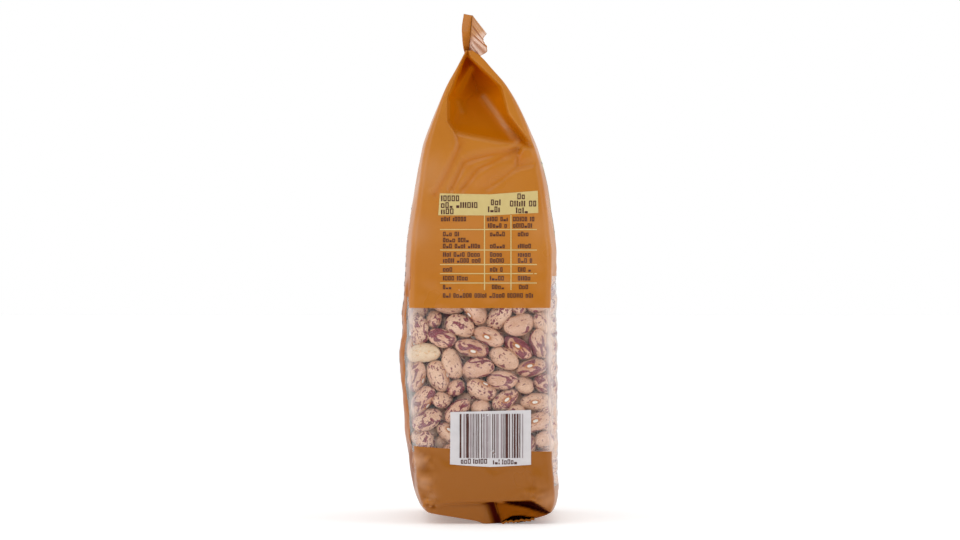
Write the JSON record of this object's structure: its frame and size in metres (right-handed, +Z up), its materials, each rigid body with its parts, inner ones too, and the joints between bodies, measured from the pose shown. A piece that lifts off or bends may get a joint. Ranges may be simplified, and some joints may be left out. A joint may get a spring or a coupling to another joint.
{
  "type": "film pack of dried beans",
  "caption": "Standing side-gusseted film pack of dried speckled beans, with a folded gable top, a crimped seal and a clear window round three sides that shows the beans.",
  "frame": {"origin": "middle of the pack's box, on the surface it stands on", "axes": "+Z up the pack to its top seal, -Y the narrow gusset side with the label, +X the wide side with the large window"},
  "size_m": [0.071, 0.0928, 0.23],
  "materials": {
    "printed_film": "printed caramel brown packaging film with a satin gloss",
    "clear_film": "unprinted clear packaging film, glossy",
    "print_ink": "pale yellow and dark brown print, and a white label with plain bars",
    "dried_beans": "smooth dry seed coats, pinkish tan with maroon speckles and streaks"
  },
  "bodies": {
    "root": {"bag": "printed_film", "beans": "dried_beans"}
  },
  "joints": []
}
